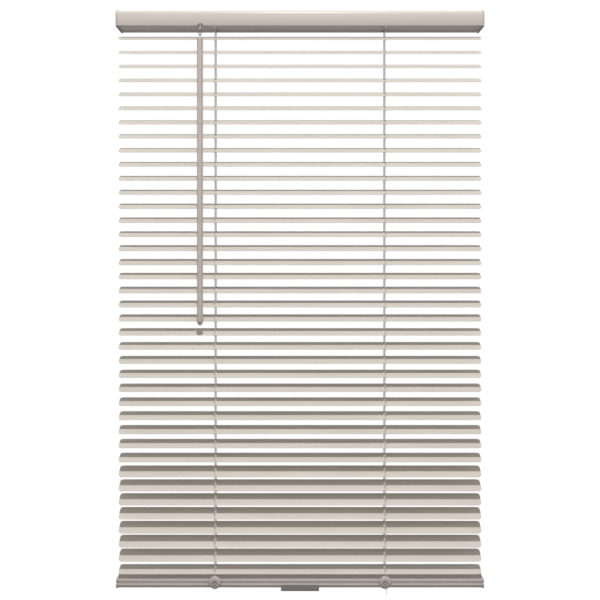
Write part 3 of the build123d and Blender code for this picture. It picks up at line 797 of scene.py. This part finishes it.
class BLIND_OT_rungs(bpy.types.Operator):
    """Tie the cross strings that carry each slat, two to a ladder"""

    bl_idname = "blind.rungs"
    bl_label = "Cross strings"

    def execute(self, context):
        _, cords, _ = settings()
        patterns = {}
        for name in slat_names:
            tilt = slat_tilt(name)
            key = round(math.degrees(tilt))
            if key not in patterns:
                patterns[key] = self.make_pattern(cords, tilt)
            rungs = bpy.data.objects.new("rungs_" + name[-2:], patterns[key].data.copy())
            context.scene.collection.objects.link(rungs)
            rungs.data.transform(Matrix.Translation(slat_places[name]) @ Matrix.Rotation(tilt, 4, "X"))
            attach(rungs, name)
        for pattern in patterns.values():
            bpy.data.objects.remove(pattern)
        return {"FINISHED"}

    def make_pattern(self, cords, tilt):
        """The cross strings of both ladders for one slat, laid flat at the origin."""
        reach_x, spread = ladder_reach()
        radius = cords.rung_diameter / 2
        depth = -SLAT_RISE - SLAT_THICKNESS / 2 - radius
        edge = SLAT_WIDTH / 2
        room_end = -(spread - depth * math.sin(tilt)) / math.cos(tilt)
        window_end = (spread + depth * math.sin(tilt)) / math.cos(tilt)
        pieces = []
        for ladder in (-1, 1):
            x = ladder * reach_x
            for thread in (-1, 1):
                out = x + thread * cords.rung_spread
                under = [(out, -edge, depth), (out, edge, depth)]
                route = [(x, room_end, depth), *under, (x, window_end, depth)]
                pieces.append(add_tube(route, radius, RUNG_SIDES, "rung_thread"))
            for end in (room_end, window_end):
                knot = cords.string_diameter * BEAD_SHARE
                pieces.append(add_bead((x, end, depth), knot, BEAD_SQUEEZE, "rung_knot"))
        pattern = join_pieces(pieces, "rungs_pattern")
        pattern.data.materials.append(cord_material())
        return pattern


class BLIND_OT_ladder_ends(bpy.types.Operator):
    """Lead each ladder's strings round the bottom rail to its button and tie them off in the well"""

    bl_idname = "blind.ladder_ends"
    bl_label = "Ladder ends"

    def execute(self, context):
        _, cords, _ = settings()
        half = cords.string_diameter / 2
        reach_x, _ = ladder_reach()
        middle = (button_low.z + button_high.z) / 2
        face = button_low.y - half
        well = button_low.y + cords.well_depth
        back = rail_high.y + half
        under = rail_low.z - half
        for side_name, side in SIDES:
            x = side * reach_x
            room = [
                Vector((x, button_high.y - half, button_high.z + half)),
                Vector((x, face, button_high.z + half)),
                Vector((x, face, middle + cords.well_radius)),
                Vector((x, face, middle + cords.well_radius / 2)),
                Vector((x, well, middle)),
            ]
            window = [
                Vector((x, ladder_high.y - half, rail_middle)),
                Vector((x, back, under)),
                Vector((x, rod_place.y, under)),
                Vector((x, rail_low.y - half, under)),
                Vector((x, button_low.y - half, button_low.z - half)),
                Vector((x, face, button_low.z + cords.well_radius / 2)),
                Vector((x, face, middle - cords.well_radius)),
                Vector((x, well, middle)),
            ]
            tail_x = x + side * cords.well_radius / 2
            tail = [
                Vector((x, well, middle)),
                Vector((x, face, middle - cords.well_radius)),
                Vector((tail_x, face, button_low.z)),
                Vector((tail_x, face, button_low.z - cords.tail_length)),
            ]
            pieces = []
            routes = {"room": room, "window": window}
            if side > 0:
                routes["tail"] = tail
            for part, route in routes.items():
                pieces.append(ladder_string("ladder_end_" + part, route))
            for turn in range(cords.knot_turns):
                lift = (turn - (cords.knot_turns - 1) / 2) * cords.string_diameter
                pieces.append(self.knot_turn(cords, Vector((x, face, middle + lift)), turn))
            ends = join_pieces(pieces, "ladder_end_" + side_name)
            ends.data.materials.clear()
            ends.data.materials.append(cord_material())
            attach(ends, "bottom_rail")
        return {"FINISHED"}

    def knot_turn(self, cords, middle, turn):
        """One turn of the knot, a ring of string that leans to the left and the right by turns."""
        clear_selection()
        lean = cords.knot_lean if turn % 2 else -cords.knot_lean
        bpy.ops.mesh.primitive_torus_add(
            location=middle,
            rotation=(0.0, lean, 0.0),
            major_segments=KNOT_SEGMENTS,
            minor_segments=KNOT_SIDES,
            major_radius=cords.string_diameter * KNOT_REACH_SHARE,
            minor_radius=cords.string_diameter * KNOT_STRING_SHARE,
        )
        ring = bpy.context.object
        bpy.ops.object.transform_apply(location=True, rotation=True, scale=True)
        return ring


class BLIND_OT_bottom_rail(bpy.types.Operator):
    """Finish the bottom rail, its end caps, the ladder buttons and the lift handle"""

    bl_idname = "blind.bottom_rail"
    bl_label = "Bottom rail"

    def execute(self, context):
        finishes, _, _ = settings()
        # The rail's colour holds painted shade: darker than the slat vinyl for the dimmer light low on the
        # blind.
        rail_shaded_values = (finishes.rail_shaded_colour[:], finishes.rail_roughness, finishes.rail_streaks)
        rail = drawn_vinyl("rail_vinyl_drawn_shaded", *rail_shaded_values)
        finish(rail, "bottom_rail")
        # The rail's caps and buttons take the darker trim copy, whose colour holds painted shade.
        trim = moulded_plastic("rail_trim_moulded_shaded", finishes.rail_trim_shaded_colour[:], finishes.trim_roughness)
        finish(trim, "bottom_left_cap", "bottom_right_cap", "ladder_buttons")
        handle = moulded_plastic("handle_moulded", finishes.handle_colour[:], finishes.handle_roughness)
        finish(handle, "lift_handle")
        return {"FINISHED"}


class BLIND_OT_wand(bpy.types.Operator):
    """Finish the tilt wand, its sleeve, its tip and its wire hook"""

    bl_idname = "blind.wand"
    bl_label = "Wand"

    def execute(self, context):
        finishes, _, _ = settings()
        wand_values = (finishes.wand_colour[:], finishes.wand_roughness, finishes.wand_clearness)
        clear = moulded_plastic("wand_moulded", *wand_values)
        finish(clear, "wand", "wand_tip", "wand_sleeve")
        finish(steel_material(), "wand_hook")
        return {"FINISHED"}


class BLIND_PT_panel(bpy.types.Panel):
    """The blind's settings and steps in the sidebar"""

    bl_idname = "BLIND_PT_panel"
    bl_label = "Vinyl mini blind"
    bl_space_type = "VIEW_3D"
    bl_region_type = "UI"
    bl_category = "Blind"

    def draw(self, context):
        for group in (context.scene.blind_finishes, context.scene.blind_cords, context.scene.blind_stage):
            for name in group.__annotations__:
                self.layout.prop(group, name)
        for operator in operators:
            self.layout.operator(operator.bl_idname)


operators = (
    BLIND_OT_stage,
    BLIND_OT_headrail,
    BLIND_OT_mechanism,
    BLIND_OT_slats,
    BLIND_OT_ladder_strings,
    BLIND_OT_lift_cords,
    BLIND_OT_rungs,
    BLIND_OT_ladder_ends,
    BLIND_OT_bottom_rail,
    BLIND_OT_wand,
)
classes = (BlindFinishes, BlindCords, BlindStage, *operators, BLIND_PT_panel)


def register():
    """Register the classes and the scene's settings."""
    for item in classes:
        bpy.utils.register_class(item)
    bpy.types.Scene.blind_finishes = PointerProperty(type=BlindFinishes)
    bpy.types.Scene.blind_cords = PointerProperty(type=BlindCords)
    bpy.types.Scene.blind_stage = PointerProperty(type=BlindStage)


def unregister():
    """Take the settings and the classes out again."""
    del bpy.types.Scene.blind_stage
    del bpy.types.Scene.blind_cords
    del bpy.types.Scene.blind_finishes
    for item in reversed(classes):
        bpy.utils.unregister_class(item)


def main():
    register()
    bpy.ops.blind.stage()
    bpy.ops.blind.headrail()
    bpy.ops.blind.mechanism()
    bpy.ops.blind.slats()
    bpy.ops.blind.ladder_strings()
    bpy.ops.blind.lift_cords()
    bpy.ops.blind.rungs()
    bpy.ops.blind.ladder_ends()
    bpy.ops.blind.bottom_rail()
    bpy.ops.blind.wand()


if __name__ == "__main__":
    main()
